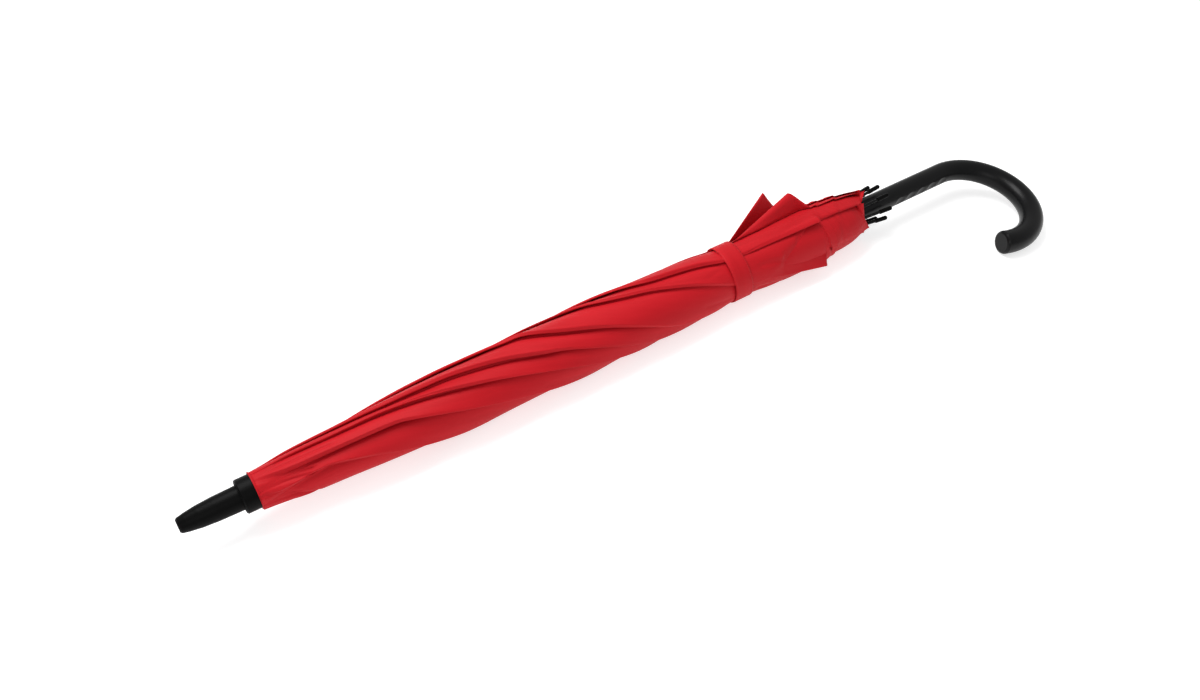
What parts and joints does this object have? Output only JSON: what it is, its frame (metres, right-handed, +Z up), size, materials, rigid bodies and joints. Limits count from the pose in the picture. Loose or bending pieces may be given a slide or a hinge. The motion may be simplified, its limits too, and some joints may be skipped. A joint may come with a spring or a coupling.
{
  "type": "stick umbrella",
  "caption": "Long manual umbrella with a crook handle, rolled and strapped, lying down; hinged ribs and stretchers on a sliding runner.",
  "frame": {"origin": "centre of the underside of the umbrella's box, on the floor that it lies on", "axes": "+Z up, +X along the shaft from the ferrule to the handle; the crook opens towards -Y"},
  "size_m": [0.8604, 0.1648, 0.0747],
  "materials": {
    "fabric": "woven, slight sheen",
    "black_plastic": "moulded, semi-matte",
    "steel": "plated",
    "stretcher_steel": "black enamel",
    "rib_glassfibre": "black glass-fibre rod",
    "snap_metal": "nickel"
  },
  "bodies": {
    "shaft": {"shaft_tube": "steel", "ferrule": "black_plastic", "ferrule_collar": "black_plastic", "canopy_rosette": "fabric", "crown_notch": "black_plastic", "crown_wire": "steel", "crown_pin": "steel", "stop_pin": "steel", "crook_handle": "black_plastic"},
    "top_catch": {"top_catch": "steel"},
    "bottom_catch": {"bottom_catch": "steel"},
    "runner": {"runner_sleeve": "black_plastic", "runner_notch": "black_plastic", "runner_wire": "steel"},
    "rib_1": {"rib_1": "rib_glassfibre", "rib_tip_1": "black_plastic", "rib_joint_1": "steel", "canopy_gore_1": "fabric"},
    "stretcher_1": {"stretcher_1": "stretcher_steel"},
    "rib_2": {"rib_2": "rib_glassfibre", "rib_tip_2": "black_plastic", "rib_joint_2": "steel", "canopy_gore_2": "fabric", "closing_strap": "fabric", "strap_snap": "snap_metal"},
    "stretcher_2": {"stretcher_2": "stretcher_steel"},
    "rib_3": {"rib_3": "rib_glassfibre", "rib_tip_3": "black_plastic", "rib_joint_3": "steel", "canopy_gore_3": "fabric"},
    "stretcher_3": {"stretcher_3": "stretcher_steel"},
    "rib_4": {"rib_4": "rib_glassfibre", "rib_tip_4": "black_plastic", "rib_joint_4": "steel", "canopy_gore_4": "fabric"},
    "stretcher_4": {"stretcher_4": "stretcher_steel"},
    "rib_5": {"rib_5": "rib_glassfibre", "rib_tip_5": "black_plastic", "rib_joint_5": "steel", "canopy_gore_5": "fabric"},
    "stretcher_5": {"stretcher_5": "stretcher_steel"},
    "rib_6": {"rib_6": "rib_glassfibre", "rib_tip_6": "black_plastic", "rib_joint_6": "steel", "canopy_gore_6": "fabric"},
    "stretcher_6": {"stretcher_6": "stretcher_steel"},
    "rib_7": {"rib_7": "rib_glassfibre", "rib_tip_7": "black_plastic", "rib_joint_7": "steel", "canopy_gore_7": "fabric"},
    "stretcher_7": {"stretcher_7": "stretcher_steel"},
    "rib_8": {"rib_8": "rib_glassfibre", "rib_tip_8": "black_plastic", "rib_joint_8": "steel", "canopy_gore_8": "fabric"},
    "stretcher_8": {"stretcher_8": "stretcher_steel"}
  },
  "joints": [
    {"name": "rib_1_open", "type": "hinge", "parent": "shaft", "child": "rib_1", "pos_m": [-0.36418, 0.04322, 0.03315], "axis": [0, -0.5556, 0.8315], "range_deg": [0, 72], "deforming": ["closing_strap", "strap_snap", "bottom_catch", "top_catch"]},
    {"name": "stretcher_1_fold", "type": "hinge", "parent": "rib_1", "child": "stretcher_1", "pos_m": [-0.09418, 0.04322, 0.03315], "axis": [0, -0.5556, 0.8315], "range_deg": [-144, 0]},
    {"name": "rib_2_open", "type": "hinge", "parent": "shaft", "child": "rib_2", "pos_m": [-0.36418, 0.03813, 0.03655], "axis": [0, -0.9808, 0.1951], "range_deg": [0, 72]},
    {"name": "stretcher_2_fold", "type": "hinge", "parent": "rib_2", "child": "stretcher_2", "pos_m": [-0.09418, 0.03813, 0.03655], "axis": [0, -0.9808, 0.1951], "range_deg": [-144, 0]},
    {"name": "rib_3_open", "type": "hinge", "parent": "shaft", "child": "rib_3", "pos_m": [-0.36418, 0.03212, 0.03535], "axis": [0, -0.8315, -0.5556], "range_deg": [0, 72]},
    {"name": "stretcher_3_fold", "type": "hinge", "parent": "rib_3", "child": "stretcher_3", "pos_m": [-0.09418, 0.03212, 0.03535], "axis": [0, -0.8315, -0.5556], "range_deg": [-144, 0]},
    {"name": "rib_4_open", "type": "hinge", "parent": "shaft", "child": "rib_4", "pos_m": [-0.36418, 0.02872, 0.03026], "axis": [0, -0.1951, -0.9808], "range_deg": [0, 72]},
    {"name": "stretcher_4_fold", "type": "hinge", "parent": "rib_4", "child": "stretcher_4", "pos_m": [-0.09418, 0.02872, 0.03026], "axis": [0, -0.1951, -0.9808], "range_deg": [-144, 0]},
    {"name": "rib_5_open", "type": "hinge", "parent": "shaft", "child": "rib_5", "pos_m": [-0.36418, 0.02991, 0.02425], "axis": [0, 0.5556, -0.8315], "range_deg": [0, 72]},
    {"name": "stretcher_5_fold", "type": "hinge", "parent": "rib_5", "child": "stretcher_5", "pos_m": [-0.09418, 0.02991, 0.02425], "axis": [0, 0.5556, -0.8315], "range_deg": [-144, 0]},
    {"name": "rib_6_open", "type": "hinge", "parent": "shaft", "child": "rib_6", "pos_m": [-0.36418, 0.035, 0.02085], "axis": [0, 0.9808, -0.1951], "range_deg": [0, 72]},
    {"name": "stretcher_6_fold", "type": "hinge", "parent": "rib_6", "child": "stretcher_6", "pos_m": [-0.09418, 0.035, 0.02085], "axis": [0, 0.9808, -0.1951], "range_deg": [-144, 0]},
    {"name": "rib_7_open", "type": "hinge", "parent": "shaft", "child": "rib_7", "pos_m": [-0.36418, 0.04101, 0.02205], "axis": [0, 0.8315, 0.5556], "range_deg": [0, 72]},
    {"name": "stretcher_7_fold", "type": "hinge", "parent": "rib_7", "child": "stretcher_7", "pos_m": [-0.09418, 0.04101, 0.02205], "axis": [0, 0.8315, 0.5556], "range_deg": [-144, 0]},
    {"name": "rib_8_open", "type": "hinge", "parent": "shaft", "child": "rib_8", "pos_m": [-0.36418, 0.04441, 0.02714], "axis": [0, 0.1951, 0.9808], "range_deg": [0, 72]},
    {"name": "stretcher_8_fold", "type": "hinge", "parent": "rib_8", "child": "stretcher_8", "pos_m": [-0.09418, 0.04441, 0.02714], "axis": [0, 0.1951, 0.9808], "range_deg": [-144, 0]},
    {"name": "runner_slide_link", "type": "hinge", "parent": "stretcher_1", "child": "runner", "pos_m": [0.17582, 0.04322, 0.03315], "axis": [0, -0.5556, 0.8315], "range_deg": [0, 72]},
    {"name": "bottom_catch_press", "type": "hinge", "parent": "shaft", "child": "bottom_catch", "pos_m": [0.22582, 0.03602, 0.03145], "axis": [0, -0.9808, -0.1951], "range_deg": [0, 8], "stiffness_Nm_per_rad": 0.6, "springref_deg": -5.73},
    {"name": "top_catch_press", "type": "hinge", "parent": "shaft", "child": "top_catch", "pos_m": [-0.10281, 0.03602, 0.03145], "axis": [0, -0.9808, -0.1951], "range_deg": [0, 8], "stiffness_Nm_per_rad": 0.6, "springref_deg": -5.73}
  ],
  "couplings": [
    {"joint": "stretcher_1_fold", "follows": "rib_1_open", "ratio": -2},
    {"joint": "rib_2_open", "follows": "rib_1_open", "ratio": 1},
    {"joint": "stretcher_2_fold", "follows": "rib_1_open", "ratio": -2},
    {"joint": "rib_3_open", "follows": "rib_1_open", "ratio": 1},
    {"joint": "stretcher_3_fold", "follows": "rib_1_open", "ratio": -2},
    {"joint": "rib_4_open", "follows": "rib_1_open", "ratio": 1},
    {"joint": "stretcher_4_fold", "follows": "rib_1_open", "ratio": -2},
    {"joint": "rib_5_open", "follows": "rib_1_open", "ratio": 1},
    {"joint": "stretcher_5_fold", "follows": "rib_1_open", "ratio": -2},
    {"joint": "rib_6_open", "follows": "rib_1_open", "ratio": 1},
    {"joint": "stretcher_6_fold", "follows": "rib_1_open", "ratio": -2},
    {"joint": "rib_7_open", "follows": "rib_1_open", "ratio": 1},
    {"joint": "stretcher_7_fold", "follows": "rib_1_open", "ratio": -2},
    {"joint": "rib_8_open", "follows": "rib_1_open", "ratio": 1},
    {"joint": "stretcher_8_fold", "follows": "rib_1_open", "ratio": -2},
    {"joint": "runner_slide_link", "follows": "rib_1_open", "ratio": 1}
  ]
}
